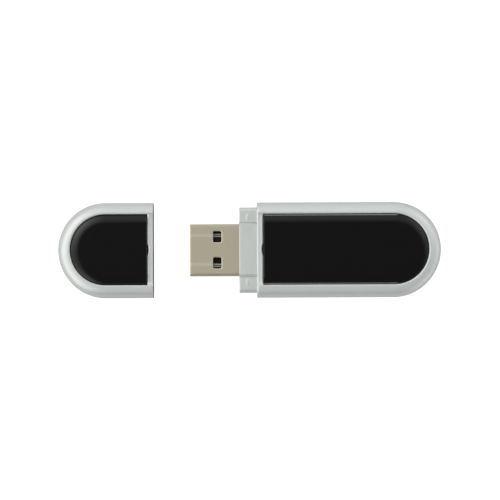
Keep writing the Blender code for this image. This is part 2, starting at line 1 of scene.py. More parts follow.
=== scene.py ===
"""The looks of a USB flash drive with its cap pulled off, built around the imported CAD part.

The body and the cap share one set of mesh functions, as in the CAD. Each is drawn in the frame of
its sleeve: u runs into the sleeve from the middle of its open end, v across it, and h up from its
middle plane. Matrices made from the CAD nodes' boxes then put the meshes in place.
"""

import json
import math

import bmesh
import bpy
from mathutils import Euler, Matrix, Vector

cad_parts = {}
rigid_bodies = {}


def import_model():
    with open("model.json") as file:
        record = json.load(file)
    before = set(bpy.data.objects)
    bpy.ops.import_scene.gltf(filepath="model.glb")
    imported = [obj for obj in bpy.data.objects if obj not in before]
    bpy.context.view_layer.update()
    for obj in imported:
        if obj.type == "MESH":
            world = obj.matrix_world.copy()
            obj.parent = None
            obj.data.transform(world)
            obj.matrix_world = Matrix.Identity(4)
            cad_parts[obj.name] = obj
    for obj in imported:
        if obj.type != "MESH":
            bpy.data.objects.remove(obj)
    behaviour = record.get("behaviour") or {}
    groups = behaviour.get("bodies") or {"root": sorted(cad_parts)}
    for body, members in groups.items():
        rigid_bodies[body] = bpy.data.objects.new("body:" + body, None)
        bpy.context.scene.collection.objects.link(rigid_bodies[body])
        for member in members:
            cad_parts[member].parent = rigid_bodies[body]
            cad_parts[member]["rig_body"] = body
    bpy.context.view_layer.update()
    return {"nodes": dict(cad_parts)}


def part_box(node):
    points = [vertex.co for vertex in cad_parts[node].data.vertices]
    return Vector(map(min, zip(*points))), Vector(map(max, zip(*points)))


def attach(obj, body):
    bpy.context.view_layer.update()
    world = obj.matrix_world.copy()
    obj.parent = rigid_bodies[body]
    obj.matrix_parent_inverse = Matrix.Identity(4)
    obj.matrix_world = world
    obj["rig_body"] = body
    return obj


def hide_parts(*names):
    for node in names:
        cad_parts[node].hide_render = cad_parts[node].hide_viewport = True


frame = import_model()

MM = 0.001
WELD = 1e-6

# Where things are, from the CAD
body_lo, body_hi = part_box("body_sleeve")
cap_lo, cap_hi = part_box("cap_sleeve")
panel_lo, panel_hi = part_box("body_top_panel")
plug_lo, plug_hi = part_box("plug_shell")
neck_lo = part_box("carrier_cover")[0]
film_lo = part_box("body_top_adhesive")[0]

MIDDLE = (body_lo.z + body_hi.z) / 2
BODY = Matrix.Translation((body_lo.x, 0, MIDDLE))
CAP = Matrix.Translation((cap_hi.x, 0, MIDDLE)) @ Matrix.Rotation(math.pi, 4, "Z")
OVER = Matrix.Rotation(math.pi, 4, "X")

BODY_LENGTH = body_hi.x - body_lo.x
CAP_LENGTH = cap_hi.x - cap_lo.x
RADIUS = (body_hi.y - body_lo.y) / 2
TALL = (body_hi.z - body_lo.z) / 2
FIT = 0.08 * MM  # between a panel and its opening
OPENING = panel_hi.y + FIT  # radius of the opening for an inlay
END_BAR = panel_lo.x - body_lo.x - FIT
FRONT = neck_lo.x - body_lo.x
PLUG_TIP = plug_lo.x - body_lo.x
PLUG_END = plug_hi.x - body_lo.x
PLUG_HALF = plug_hi.y
PLUG_TALL = plug_hi.z - MIDDLE
FACE_GAP = 0.02 * MM  # clearance kept at each glued or welded face

# Tools for Booleans reach this far past what they cut
PAST = 1 * MM

# Sleeve
EDGE_RUN, EDGE_DROP = 2.4 * MM, 2.1 * MM
CREST_ANGLE = math.radians(82)  # where the ellipse stops, so the rails still rise a little inwards
SIDE_WALL = 1.02 * MM
CAVITY_TALL = 3.0 * MM
CAVITY_CORNER = 0.8 * MM
CAVITY_MOUTH_ROUNDING = 0.1 * MM
CAVITY_MARGIN = 0.05 * MM  # for picking the edges of the cavity's mouth
SEAT = film_lo.z - MIDDLE - FACE_GAP
LIP = 0.3 * MM  # width of the round or chamfer at the edge of the opening
LIP_DROP = 0.2 * MM
SHADE_BELOW = TALL - 0.7 * MM  # the recess is painted dark below this height, as painted shade
BAR_STEP = 0.3 * MM  # how much lower the bar lies than the rails
BAR_DIP = 0.045 * MM
BAR_LIP_DROP = 0.19 * MM
BAR_LOOPS = (0.4, 0.55, 0.7, 0.86)  # shares of the way from the outer edge to the lip
TROUGH_HALF = OPENING + 0.15 * MM
TROUGH_FOOT = TROUGH_HALF - 1.3 * MM
TROUGH_FADE = 0.8 * MM
NOTCH_HALF = 1.5 * MM
NOTCH_DEPTH = 0.3 * MM
MOUTH_CHAMFER_RUN, MOUTH_CHAMFER_DROP = 0.3 * MM, 0.14 * MM
MOUTH_TUCK = 0.05 * MM  # how far the sides are drawn in at the mouth
MOUTH_ROUNDING = 0.12 * MM
OPENING_CORNER = 0.25 * MM
# Where the lines beside the bar have their points, from the mouth inwards
BESIDE_BAR = [0.0, MOUTH_CHAMFER_RUN]
BESIDE_BAR += [u * MM for u in (0.6, 0.9, 1.15, 1.35, 1.55, 1.75, 1.95, 2.3)]

# Panel
PANEL_UNDERSIDE = panel_lo.z - MIDDLE
PANEL_RIM = TALL - 0.48 * MM
PANEL_FACE = panel_hi.z - MIDDLE
PANEL_CROWN = 2.1 * MM  # width of the border that curves down to the rails
PANEL_ROUNDING = 0.18 * MM
HIGHLIGHT_FROM, HIGHLIGHT_TO = 0.13 * MM, 0.3 * MM  # where the band of painted highlight lies, from the panel's edge

# Neck and carrier
CARRIER_PLAY = 0.1 * MM
NECK_HALF = 9.9 * MM
EAR_TALL = 2.45 * MM
EAR_CORNER = 0.9 * MM
SADDLE_TALL = 2.9 * MM
SADDLE_HALF = 5.75 * MM
SADDLE_SLOPE = 0.4 * MM
SADDLE_GROOVE = 0.25 * MM
GROOVE_NEAR, GROOVE_FAR = 0.1 * MM, 0.25 * MM  # from the foot of the step
NECK_CHAMFER = 0.22 * MM
NUB_U, NUB_V = -2.1 * MM, 7.55 * MM
NUB_HALF = (0.5 * MM, 0.95 * MM, 0.1 * MM)
BAY_END, BAY_HALF, BAY_TALL = 36.2 * MM, 7.4 * MM, 2.3 * MM
LEDGE = 1.33 * MM  # depth of the bay down to the ledge that the board lies on
RELIEF_END, RELIEF_HALF = BAY_END - 1 * MM, 6.4 * MM
RIB_U, RIB_V, RIB_RADIUS = 33.4 * MM, BAY_HALF + 0.15 * MM, 0.6 * MM
RIB_LOW, RIB_HIGH = 0.2 * MM, LEDGE + 0.2 * MM
NECK_END = CARRIER_PLAY + 0.5 * MM
PIN_RADIUS, PIN_REACH, PIN_ROOT = 0.7 * MM, 1.3 * MM, 1 * MM
SOCKET_RADIUS, SOCKET_REACH = PIN_RADIUS + 0.06 * MM, PIN_REACH + 0.15 * MM
PIN_PLACES = [(u * MM, v * MM) for u, v in ((38.9, 4.4), (38.9, -4.4), (1.7, 8.1), (1.7, -8.1))]
SNAP_U, SNAP_LENGTH, SNAP_DEPTH = 30.0 * MM, 1.8 * MM, 0.15 * MM
SNAP_LOW, SNAP_HIGH, SNAP_ROOT = 0.3 * MM, 1.5 * MM, 0.5 * MM
SNAP_ROOM = 0.1 * MM

# Plug
PLUG_CORNER = 0.6 * MM
PLUG_WALL = 0.3 * MM
PLUG_BACK = PLUG_TIP + 18.75 * MM
BAY_FRONT = PLUG_BACK + 0.1 * MM
NOSE_RUN, NOSE_DROP = 0.35 * MM, 0.14 * MM
PLAY = 0.03 * MM  # between the plug's pieces, and between its tabs and the board
POCKET_END = PLUG_BACK + 0.3 * MM
TAB_TALL = 1.2 * MM
BOARD_TOP = -0.3 * MM
WINDOW_U = (PLUG_TIP + 5.4 * MM, PLUG_TIP + 7.35 * MM)
WINDOW_V = (1.8 * MM, 4.3 * MM)
WINDOW_CORNER, WINDOW_ROUNDING = 0.25 * MM, 0.2 * MM
TONGUE_FRONT = PLUG_TIP + 0.5 * MM
TONGUE_TOP = -0.12 * MM
TONGUE_BEVEL = 0.3 * MM
BLOCK_FRONT = PLUG_TIP + 10.0 * MM
CONTACT_FRONT = 0.25 * MM  # length of the end that dips into the tongue
CONTACT_EDGE = 0.02 * MM
SHEARED_WIDTH, SHEARED_DROP = 0.24 * MM, 0.01 * MM
TRACK_V, TRACK_INNER, TRACK_OUTER = 3.35 * MM, 0.2 * MM, 0.55 * MM  # rubbed by a socket's springs

# Mesh density
ARC_STEPS = 96
CORNER_STEPS = 6
ROUND_STEPS = 10
CROWN_STEPS = 14
CAVITY_STEPS = 6
TURN_STEPS = 40
SHARP_ANGLE = math.radians(32)
SAME_PLACE = 1e-7
FACES_ALONG = 0.99  # a normal this far along an axis counts as being along it

# Studio. Angles in degrees: the tilt from overhead, and the bearing from +X
FLOOR_SIZE, FLOOR_STEPS = 3.0, 12
FLOOR_BELOW = 0.05 * MM
FLOOR_GLOW, FLOOR_WHITENING = 0.26, 0.8
SOFTBOX_FOCUS = 16.0
SOFTBOXES = (  # tilt, bearing, strength
    (35, 0, 0.3),
    (35, 45, 0.6),
    (35, 135, 2.0),
    (35, 225, 1.1),
    (35, 315, 0.3),
    (60, 45, 1.5),
    (60, 90, 0.35),
    (60, 135, 0.9),
    (60, 180, 2.1),
    (60, 225, 1.8),
    (82, 0, 1.7),
    (82, 90, 0.7),
    (82, 315, 1.6),
)
DARK_PATCH = (16, 308)  # tilt and bearing of its middle
PATCH_EDGE = (14, 28)  # from its middle, to the end of the dark and the start of the full light
PATCH_LIGHT = 0.15
HORIZON = (-0.05, 0.1)  # the light fades in between these heights of a direction

CAMERA_LENS = 347.87
CAMERA_PLACE = (-0.004555, -0.060051, 1.128337)
CAMERA_TURN = (-0.05343, 0.00414, 0.004)


# Mesh building blocks


def finished(bm, name):
    """A welded mesh with its faces outwards, from a bmesh that isn't needed any more."""
    bmesh.ops.remove_doubles(bm, verts=bm.verts, dist=WELD)
    bmesh.ops.recalc_face_normals(bm, faces=bm.faces)
    mesh = bpy.data.meshes.new(name)
    bm.to_mesh(mesh)
    bm.free()
    return mesh


def bridge(bm, low, high, closed=True):
    """Quads between two lines of vertices."""
    for i in range(len(low) if closed else len(low) - 1):
        j = (i + 1) % len(low)
        bm.faces.new((low[i], low[j], high[j], high[i]))


def loft(name, rings):
    """A closed mesh through a stack of outlines with the same number of points."""
    bm = bmesh.new()
    loops = [[bm.verts.new(point) for point in ring] for ring in rings]
    for low, high in zip(loops, loops[1:]):
        bridge(bm, low, high)
    bm.faces.new(loops[0][::-1])
    bm.faces.new(loops[-1])
    return finished(bm, name)


def block(name, low, high):
    """A box between two corners, as a tool for Booleans."""
    (u0, v0, h0), (u1, v1, h1) = low, high
    rings = [[(u0, v0, h), (u1, v0, h), (u1, v1, h), (u0, v1, h)] for h in (h0, h1)]
    return loft(name, rings)


def full_turn():
    """Angles once around."""
    return [math.tau * i / TURN_STEPS for i in range(TURN_STEPS)]


def cylinder(name, centre, radius, low, high):
    """An upright cylinder, between two heights."""
    u, v = centre
    circle = [(u + radius * math.cos(a), v + radius * math.sin(a)) for a in full_turn()]
    return loft(name, [[(*point, h) for point in circle] for h in (low, high)])


def boolean(mesh, *steps):
    """That mesh after each (operation, tool mesh) in turn."""
    base = bpy.data.objects.new("base", mesh)
    bpy.context.scene.collection.objects.link(base)
    used = [base]
    for operation, tool in steps:
        obj = bpy.data.objects.new("tool", tool)
        bpy.context.scene.collection.objects.link(obj)
        used.append(obj)
        modifier = base.modifiers.new(operation, "BOOLEAN")
        modifier.solver = "EXACT"
        modifier.operation = operation
        modifier.object = obj
    evaluated = base.evaluated_get(bpy.context.evaluated_depsgraph_get())
    result = bpy.data.meshes.new_from_object(evaluated)
    for obj in used:
        bpy.data.objects.remove(obj)
    return result


def cut(mesh, *tools):
    return boolean(mesh, *[("DIFFERENCE", tool) for tool in tools])


def join(mesh, *tools):
    return boolean(mesh, *[("UNION", tool) for tool in tools])


def soften(mesh, chosen, width, segments=3):
    """Rounds the edges for which chosen(edge) is true."""
    bm = bmesh.new()
    bm.from_mesh(mesh)
    bmesh.ops.remove_doubles(bm, verts=bm.verts, dist=WELD)
    edges = [e for e in bm.edges if len(e.link_faces) == 2 and chosen(e)]
    bmesh.ops.bevel(
        bm,
        geom=edges,
        offset=width,
        offset_type="OFFSET",
        segments=segments,
        profile=0.5,
        affect="EDGES",
        clamp_overlap=False,
    )
    return finished(bm, mesh.name)


def meets_plane(edge, axis, at):
    """True for an edge in the plane across axis, between a face of the plane and another."""
    if any(abs(vert.co[axis] - at) > SAME_PLACE for vert in edge.verts):
        return False
    flat = [abs(face.normal[axis]) > FACES_ALONG for face in edge.link_faces]
    return sum(flat) == 1


def quarter_turn(steps=ROUND_STEPS):
    """Angles from 0 to a right angle."""
    return [math.pi / 2 * i / steps for i in range(steps + 1)]


def edge_profile(half_height, run, drop, steps=ROUND_STEPS, end=math.pi / 2):
    """(inset, height) up the side of a flat body whose edges are rounded by part of an ellipse."""
    upper = []
    for i in range(steps + 1):
        a = end * i / steps
        inset = run * (1 - math.cos(a)) / (1 - math.cos(end))
        upper.append((inset, half_height - drop * (1 - math.sin(a) / math.sin(end))))
    return [(inset, -h) for inset, h in reversed(upper)] + upper


def near_corner(flat_u, radius, corner):
    """The round corner between the straight end of a D and its side at -v."""
    return [
        (flat_u + corner * (1 - math.cos(a)), -radius + corner * (1 - math.sin(a)))
        for a in quarter_turn(CORNER_STEPS)
    ]


def around_bend(near, centre_u, radius):
    """That line at -v, then half a circle, then the line's mirror image at +v."""
    arc = [math.pi * i / ARC_STEPS for i in range(ARC_STEPS + 1)]
    bend = [(centre_u + radius * math.sin(a), -radius * math.cos(a)) for a in arc]
    return [*near, *bend, *[(u, -v) for u, v in reversed(near)]]


def d_outline(flat_u, centre_u, radius, h, corner=0.0):
    """A D in plan: a straight end with two round corners, straight sides and a half-circle."""
    line = around_bend(near_corner(flat_u, radius, corner), centre_u, radius)
    return [(u, v, h) for u, v in line]


def rounded_section(u, half_width, half_height, corner, steps=8):
    """A rectangle with round corners across the drive, at u."""
    points = []
    for turn, (v, h) in enumerate(((1, -1), (1, 1), (-1, 1), (-1, -1))):
        for i in range(steps + 1):
            a = math.pi / 2 * (turn - 1 + i / steps)
            across = v * (half_width - corner) + corner * math.cos(a)
            points.append((u, across, h * (half_height - corner) + corner * math.sin(a)))
    return points


def smooth_step(x):
    """From 0 to 1 as x does, level at both ends."""
    x = min(max(x, 0.0), 1.0)
    return x * x * (3 - 2 * x)


# Sleeves


def trough(u, v):
    """How much lower than the rails the bar at the open end lies, with a fillet up to each rail."""
    x = (abs(v) - TROUGH_FOOT) / (TROUGH_HALF - TROUGH_FOOT)
    deep = BAR_STEP * math.sqrt(1 - min(max(x, 0.0), 1.0) ** 2)
    return deep * (1 - smooth_step((u - END_BAR) / TROUGH_FADE))


def notch(v):
    """Depth of the shallow scoop in the bar's inner edge."""
    radius = (NOTCH_HALF**2 + NOTCH_DEPTH**2) / (2 * NOTCH_DEPTH)
    if abs(v) >= NOTCH_HALF:
        return 0.0
    return math.sqrt(radius**2 - v**2) - (radius - NOTCH_DEPTH)


def bar_line(edge):
    """v of the points across the bar, from one rail to the other."""
    fine = 8
    half = [edge + (TROUGH_FOOT - edge) * i / fine for i in range(1, fine + 1)]
    half += [4.6 * MM, 2.6 * MM]  # few are needed between the trough's foot and the scoop
    half += [NOTCH_HALF * (1 - i / fine) for i in range(fine)]
    return [*half, 0.0, *[-v for v in reversed(half)]]


def chamfer_mouth(bm):
    """Draws in the outside of a sleeve where it meets the plane of its mouth."""
    rim, crown = RADIUS - EDGE_RUN, TALL - EDGE_DROP
    for vert in bm.verts:
        u, v, h = vert.co
        if u < WELD:
            across = max(abs(v) - rim, 0.0) / EDGE_RUN**2
            up = max(abs(h) - crown, 0.0) / EDGE_DROP**2
            size = math.hypot(across, up)
            vert.co.y -= math.copysign(MOUTH_TUCK * across / size, v)
            vert.co.z -= math.copysign(MOUTH_CHAMFER_DROP * up / size, h)


def sleeve(name, length):
    """One silver housing: a flat hollow D, open at its straight end, with a recess in each face."""
    centre = length - RADIUS

    def outside(radius):
        return around_bend([(u, -radius) for u in BESIDE_BAR], centre, radius)

    def opening(grow):
        corner, radius, flat = OPENING_CORNER + grow, OPENING + grow, END_BAR - grow
        past_bar = BESIDE_BAR[CORNER_STEPS + 1 :]
        near = [*near_corner(flat, radius, corner), *[(u, -radius) for u in past_bar]]
        bar = [(flat - notch(v), v) for v in bar_line(radius - corner)]
        return [*around_bend(near, centre, radius), *bar]

    bm = bmesh.new()
    profile = edge_profile(TALL, EDGE_RUN, EDGE_DROP, end=CREST_ANGLE)
    lines = [
        [bm.verts.new((u, v, h)) for u, v in outside(RADIUS - inset)] for inset, h in profile
    ]
    for low, high in zip(lines, lines[1:]):
        bridge(bm, low, high, closed=False)

    rim = RADIUS - EDGE_RUN
    outer = [*outside(rim), *[(0.0, v) for v in bar_line(rim)]]
    inner = opening(LIP)
    bars = []
    for side, line in ((1, lines[-1]), (-1, lines[0])):
        bar = [bm.verts.new((0.0, v, side * (TALL - trough(0.0, v)))) for v in bar_line(rim)]
        bars.append(bar)
        loops = [[*line, *bar]]
        for t in (MOUTH_CHAMFER_RUN / (END_BAR - LIP), *BAR_LOOPS):
            loop = []
            for (u0, v0), (u1, v1) in zip(outer, inner):
                u, v = u0 + (u1 - u0) * t, v0 + (v1 - v0) * t
                low = trough(u, v)
                dip = BAR_DIP * math.sin(math.pi * t) * low / BAR_STEP
                loop.append(bm.verts.new((u, v, side * (TALL - low - dip))))
            loops.append(loop)
        for a in quarter_turn(4):
            grow, down = LIP * (1 - math.sin(a)), LIP_DROP * (1 - math.cos(a))
            loop = []
            for u, v in opening(grow):
                low = trough(u, v)
                # Round along the rails, and a flat chamfer along the bar
                down_bar = BAR_LIP_DROP * math.sin(a)
                lip = down + (down_bar - down) * low / BAR_STEP
                loop.append(bm.verts.new((u, v, side * (TALL - low - lip))))
            loops.append(loop)
        for level in (SHADE_BELOW, SEAT):
            loops.append([bm.verts.new((u, v, side * level)) for u, v in opening(0.0)])
        for low, high in zip(loops, loops[1:]):
            bridge(bm, low, high)
        bm.faces.new(loops[-1])
    # Both bar lines run from +v to -v
    bm.faces.new(
        [
            *[line[0] for line in lines],
            *reversed(bars[0]),
            *[line[-1] for line in reversed(lines)],
            *bars[1],
        ]
    )
    chamfer_mouth(bm)
    mesh = soften(finished(bm, name), lambda edge: meets_plane(edge, 0, 0.0), MOUTH_ROUNDING)

    cavity = [
        d_outline(-PAST, centre, RADIUS - SIDE_WALL - inset, h)
        for inset, h in edge_profile(CAVITY_TALL, CAVITY_CORNER, CAVITY_CORNER, CAVITY_STEPS)
    ]
    mesh = cut(mesh, loft("cavity", cavity))
    half, tall = (size + CAVITY_MARGIN for size in (RADIUS - SIDE_WALL, CAVITY_TALL))

    def cavity_mouth(edge):
        inside = all(abs(vert.co.y) < half and abs(vert.co.z) < tall for vert in edge.verts)
        return inside and meets_plane(edge, 0, 0.0)

    return soften(mesh, cavity_mouth, CAVITY_MOUTH_ROUNDING, 2)


def snap_pockets():
    """Tools for the pockets in the body sleeve's side walls that the carrier's snaps click into."""
    half = SNAP_LENGTH / 2 + SNAP_ROOM
    depth = SNAP_DEPTH - CARRIER_PLAY + SNAP_ROOM
    tools = []
    for side in (-1, 1):
        wall = side * (RADIUS - SIDE_WALL)
        v = sorted((wall - side * SNAP_ROOT, wall + side * depth))
        low = (SNAP_U - half, v[0], -SNAP_HIGH - SNAP_ROOM)
        tools.append(block("pocket", low, (SNAP_U + half, v[1], -SNAP_LOW + SNAP_ROOM)))
    return tools


def inlay(name, length):
    """A glossy panel with round edges, flat but for a border that curves down to the rails."""

    def surface(inset):
        left = max(1 - inset / PANEL_CROWN, 0.0)
        return PANEL_FACE - (PANEL_FACE - PANEL_RIM) * left**2

    profile = [(0.0, PANEL_UNDERSIDE)]
    for a in quarter_turn(5):
        inset = PANEL_ROUNDING * (1 - math.cos(a))
        profile.append((inset, surface(inset) - PANEL_ROUNDING * (1 - math.sin(a))))
    for i in range(1, CROWN_STEPS + 1):
        inset = PANEL_ROUNDING + (PANEL_CROWN - PANEL_ROUNDING) * i / CROWN_STEPS
        profile.append((inset, surface(inset)))
    end, radius, corner = END_BAR + FIT, OPENING - FIT, OPENING_CORNER - FIT / 2
    mesh = loft(
        name, [d_outline(end, length - RADIUS, radius - inset, h, corner) for inset, h in profile]
    )
    return soften(mesh, lambda edge: meets_plane(edge, 0, end), PANEL_ROUNDING)


# Carrier and neck


def neck_section(u, shrink):
    """Upper half of the neck's section: an ear on each side of the raised saddle over the plug."""
    half, ear = NECK_HALF - shrink, EAR_TALL - shrink
    right = [(half, 0.0)]
    for a in quarter_turn(8):
        right.append((half - EAR_CORNER * (1 - math.cos(a)), ear - EAR_CORNER * (1 - math.sin(a))))
    foot = SADDLE_HALF - shrink + SADDLE_SLOPE
    right.append((foot + GROOVE_FAR, ear))
    right.append((foot + GROOVE_NEAR, ear - SADDLE_GROOVE))
    # The step up to the saddle, hollow at its foot and round at its brow
    for i in range(9):
        t = i / 8
        right.append((foot - SADDLE_SLOPE * t, ear + (SADDLE_TALL - EAR_TALL) * smooth_step(t)))
    left = [(-v, h) for v, h in reversed(right)]
    return [(u, v, h + FACE_GAP) for v, h in [*right, *left]]


def nub(v):
    """A low friction nub on an ear: the top of an ellipsoid."""
    levels = [math.radians(d) for d in (-60, -35, -10, 10, 25, 40, 55, 68, 80)]
    rings = [
        [
            (
                NUB_U + NUB_HALF[0] * math.cos(level) * math.cos(a),
                v + NUB_HALF[1] * math.cos(level) * math.sin(a),
                EAR_TALL + NUB_HALF[2] * math.sin(level),
            )
            for a in full_turn()
        ]
        for level in levels
    ]
    return loft("nub", rings)


def carrier_half(name):
    """A tray inside the sleeve with half of the neck in front of it, cut out around the plug."""
    radius = RADIUS - SIDE_WALL - CARRIER_PLAY
    profile = edge_profile(CAVITY_TALL - CARRIER_PLAY, CAVITY_CORNER, CAVITY_CORNER, CAVITY_STEPS)
    levels = [(0.0, FACE_GAP), *[(inset, h) for inset, h in profile if h > 0]]
    tray = loft(
        name,
        [d_outline(CARRIER_PLAY, BODY_LENGTH - RADIUS, radius - inset, h) for inset, h in levels],
    )
    stations = [
        (FRONT + NECK_CHAMFER * (1 - math.cos(a)), NECK_CHAMFER * (1 - math.sin(a)))
        for a in quarter_turn(4)
    ]
    stations.append((NECK_END, 0.0))
    neck = loft("neck", [neck_section(u, shrink) for u, shrink in stations])
    pocket = [
        rounded_section(u, PLUG_HALF + PLAY, PLUG_TALL + PLAY, PLUG_CORNER)
        for u in (FRONT - PAST, POCKET_END)
    ]
    return cut(join(tray, neck, nub(-NUB_V), nub(NUB_V)), loft("pocket", pocket))


def carrier_cover():
    """The upper half, with a bay for the chips and a socket for each pin."""
    tools = [block("bay", (BAY_FRONT, -BAY_HALF, -PAST), (BAY_END, BAY_HALF, BAY_TALL))]
    tools += [
        cylinder("socket", place, SOCKET_RADIUS, -PAST, SOCKET_REACH) for place in PIN_PLACES
    ]
    return cut(carrier_half("carrier_cover"), *tools)


def carrier_base():
    """The lower half, upside down, with a ledge for the board, and its pins, ribs and snaps."""
    tools = [
        block("bay", (BAY_FRONT, -BAY_HALF, -PAST), (BAY_END, BAY_HALF, LEDGE)),
        block("relief", (BAY_FRONT, -RELIEF_HALF, -PAST), (RELIEF_END, RELIEF_HALF, BAY_TALL)),
    ]
    additions = [cylinder("pin", place, PIN_RADIUS, -PIN_REACH, PIN_ROOT) for place in PIN_PLACES]
    for side in (-1, 1):
        additions.append(cylinder("rib", (RIB_U, side * RIB_V), RIB_RADIUS, RIB_LOW, RIB_HIGH))
        outer = side * (RADIUS - SIDE_WALL - CARRIER_PLAY)
        v = sorted((outer - side * SNAP_ROOT, outer + side * SNAP_DEPTH))
        low = (SNAP_U - SNAP_LENGTH / 2, v[0], SNAP_LOW)
        additions.append(block("snap", low, (SNAP_U + SNAP_LENGTH / 2, v[1], SNAP_HIGH)))
    return join(cut(carrier_half("carrier_base"), *tools), *additions)


# Plug


def seam():
    """The gap in the plug's folded sheet, along its underside, with the dovetail that locks it."""
    middle, key, half = PLUG_TIP + 9.3 * MM, 0.8 * MM, 0.05 * MM
    dovetail = ((-0.6 * key, 0), (-key, key), (key, key), (0.6 * key, 0))
    places = [(middle + u, v) for u, v in dovetail]
    route = [Vector(p) for p in ((PLUG_TIP - PAST, 0), *places, (PLUG_BACK + PAST, 0))]
    left, right = [], []
    for i, point in enumerate(route):
        arriving = (point - route[i - 1]) if i else (route[1] - point)
        leaving = (route[i + 1] - point) if i + 1 < len(route) else arriving
        normals = [Vector((-step.y, step.x)).normalized() for step in (arriving, leaving)]
        mitre = (normals[0] + normals[1]).normalized()
        offset = mitre * (half / mitre.dot(normals[0]))
        left.append(point + offset)
        right.append(point - offset)
    heights = (-PLUG_TALL - PAST, -PLUG_TALL + 2 * PLUG_WALL)
    return loft("seam", [[(*point, h) for point in (*right, *reversed(left))] for h in heights])


def within_windows(point, margin):
    """True for a point on the plug over a window, or within that margin of one."""
    along = WINDOW_U[0] - margin < point.x < WINDOW_U[1] + margin
    return along and WINDOW_V[0] - margin < abs(point.y) < WINDOW_V[1] + margin


def plug_shell():
    """A folded steel tube with a drawn-in nose, four windows, a seam and two solder tabs."""
    outside = [
        (PLUG_TIP + NOSE_RUN * (1 - math.cos(a)), NOSE_DROP * (1 - math.sin(a)))
        for a in quarter_turn(5)
    ]
    outside.append((PLUG_END, 0.0))
    mesh = loft(
        "plug_shell",
        [
            rounded_section(u, PLUG_HALF - inset, PLUG_TALL - inset, PLUG_CORNER - inset / 2)
            for u, inset in outside
        ],
    )
    bore = [
        rounded_section(u, PLUG_HALF - PLUG_WALL, PLUG_TALL - PLUG_WALL, PLUG_CORNER - PLUG_WALL)
        for u in (PLUG_TIP - PAST, PLUG_END + PAST)
    ]
    tools = [loft("bore", bore)]

    def upright(edge):
        a, b = edge.verts
        return (a.co - b.co).xy.length < WELD

    for v in (-1, 1):
        for h in (-1, 1):
            across = sorted((v * WINDOW_V[0], v * WINDOW_V[1]))
            low = (WINDOW_U[0], across[0], h * PLUG_TALL - 2 * PLUG_WALL)
            window = block("window", low, (WINDOW_U[1], across[1], h * PLUG_TALL + 2 * PLUG_WALL))
            tools.append(soften(window, upright, WINDOW_CORNER))
    side, end, top = PLUG_HALF + PAST, PLUG_END + PAST, PLUG_TALL + PAST
    tools += [
        block("trim", (PLUG_BACK, -side, TAB_TALL), (end, side, top)),
        block("trim", (PLUG_BACK, -side, -top), (end, side, BOARD_TOP + PLAY)),
        seam(),
    ]

    def window_edge(edge):
        if not all(within_windows(vert.co, WELD) for vert in edge.verts):
            return False
        return meets_plane(edge, 2, math.copysign(PLUG_TALL, edge.verts[0].co.z))

    return soften(cut(mesh, *tools), window_edge, WINDOW_ROUNDING)


def punched_edge_highlight(face):
    """Picks the rounded rims of the plug's windows, which take a brighter metal: partly the punch's
    burnish, partly a painted highlight.
    """
    high = abs(face.center.z) > PLUG_TALL - WINDOW_ROUNDING
    flat = abs(face.normal.z) > FACES_ALONG
    return high and not flat and within_windows(face.center, WINDOW_ROUNDING)


def plug_insulator(contacts):
    """The tongue with a groove for each contact, and the block behind it."""
    half, tall = (size - PLUG_WALL - PLAY for size in (PLUG_HALF, PLUG_TALL))
    ends = (TONGUE_FRONT, PLUG_BACK)
    tongue = loft(
        "plug_insulator", [rounded_section(u, half, tall, PLUG_CORNER - PLUG_WALL) for u in ends]
    )
    space = (
        (TONGUE_FRONT - PAST, TONGUE_TOP - TONGUE_BEVEL - PAST),
        (TONGUE_FRONT + TONGUE_BEVEL, TONGUE_TOP),
        (BLOCK_FRONT, TONGUE_TOP),
        (BLOCK_FRONT, tall + PAST),
        (TONGUE_FRONT - PAST, tall + PAST),
    )
    side = half + PAST
    tools = [loft("space", [[(u, v, h) for u, h in space] for v in (side, -side)])]
    for low, high in contacts:
        groove_low = (low.x - PLAY, low.y - PLAY, low.z - PLAY)
        tools.append(block("groove", groove_low, (PLUG_BACK + PAST, high.y + PLAY, high.z + PLAY)))
    return cut(tongue, *tools)


def contact(name, low, high):
    """A contact strip with a flat top, sloping sides and a front that dips into the tongue."""
    middle, half = (low.y + high.y) / 2, (high.y - low.y) / 2
    front = [(0.0, 0.12 * MM), (0.3, 0.06 * MM), (0.65, 0.02 * MM), (1.0, 0.0)]
    stations = [(low.x + share * CONTACT_FRONT, sink) for share, sink in front]
    rings = []
    for u, sink in (*stations, (high.x, 0.0)):
        top = high.z - sink
        section = [
            (half, low.z),
            (half, top - SHEARED_DROP - CONTACT_EDGE),
            (half - CONTACT_EDGE, top - SHEARED_DROP),
            (half - SHEARED_WIDTH, top),
        ]
        section += [(-v, h) for v, h in reversed(section)]
        rings.append([(u, middle + v, h) for v, h in section])
    return loft(name, rings)


# Materials


def principled(name, **values):
    mat = bpy.data.materials.new(name)
    mat.use_nodes = True
    shader = mat.node_tree.nodes["Principled BSDF"]
    for socket, value in values.items():
        shader.inputs[socket.replace("_", " ")].default_value = value
    return mat, mat.node_tree, shader


def place(tree, stretch=(1, 1, 1)):
    """The point on the surface in metres, stretched."""
    coordinate = tree.nodes.new("ShaderNodeTexCoord")
    mapping = tree.nodes.new("ShaderNodeMapping")
    mapping.inputs["Scale"].default_value = stretch
    tree.links.new(coordinate.outputs["Object"], mapping.inputs["Vector"])
    return mapping.outputs["Vector"]


def noise(tree, size, detail=2.0, roughness=0.5, stretch=(1, 1, 1)):
    """Noise with features of about that size in metres, about 0.5."""
    node = tree.nodes.new("ShaderNodeTexNoise")
    node.inputs["Scale"].default_value = 1 / size
    node.inputs["Detail"].default_value = detail
    node.inputs["Roughness"].default_value = roughness
    tree.links.new(place(tree, stretch), node.inputs["Vector"])
    return node.outputs["Fac"]


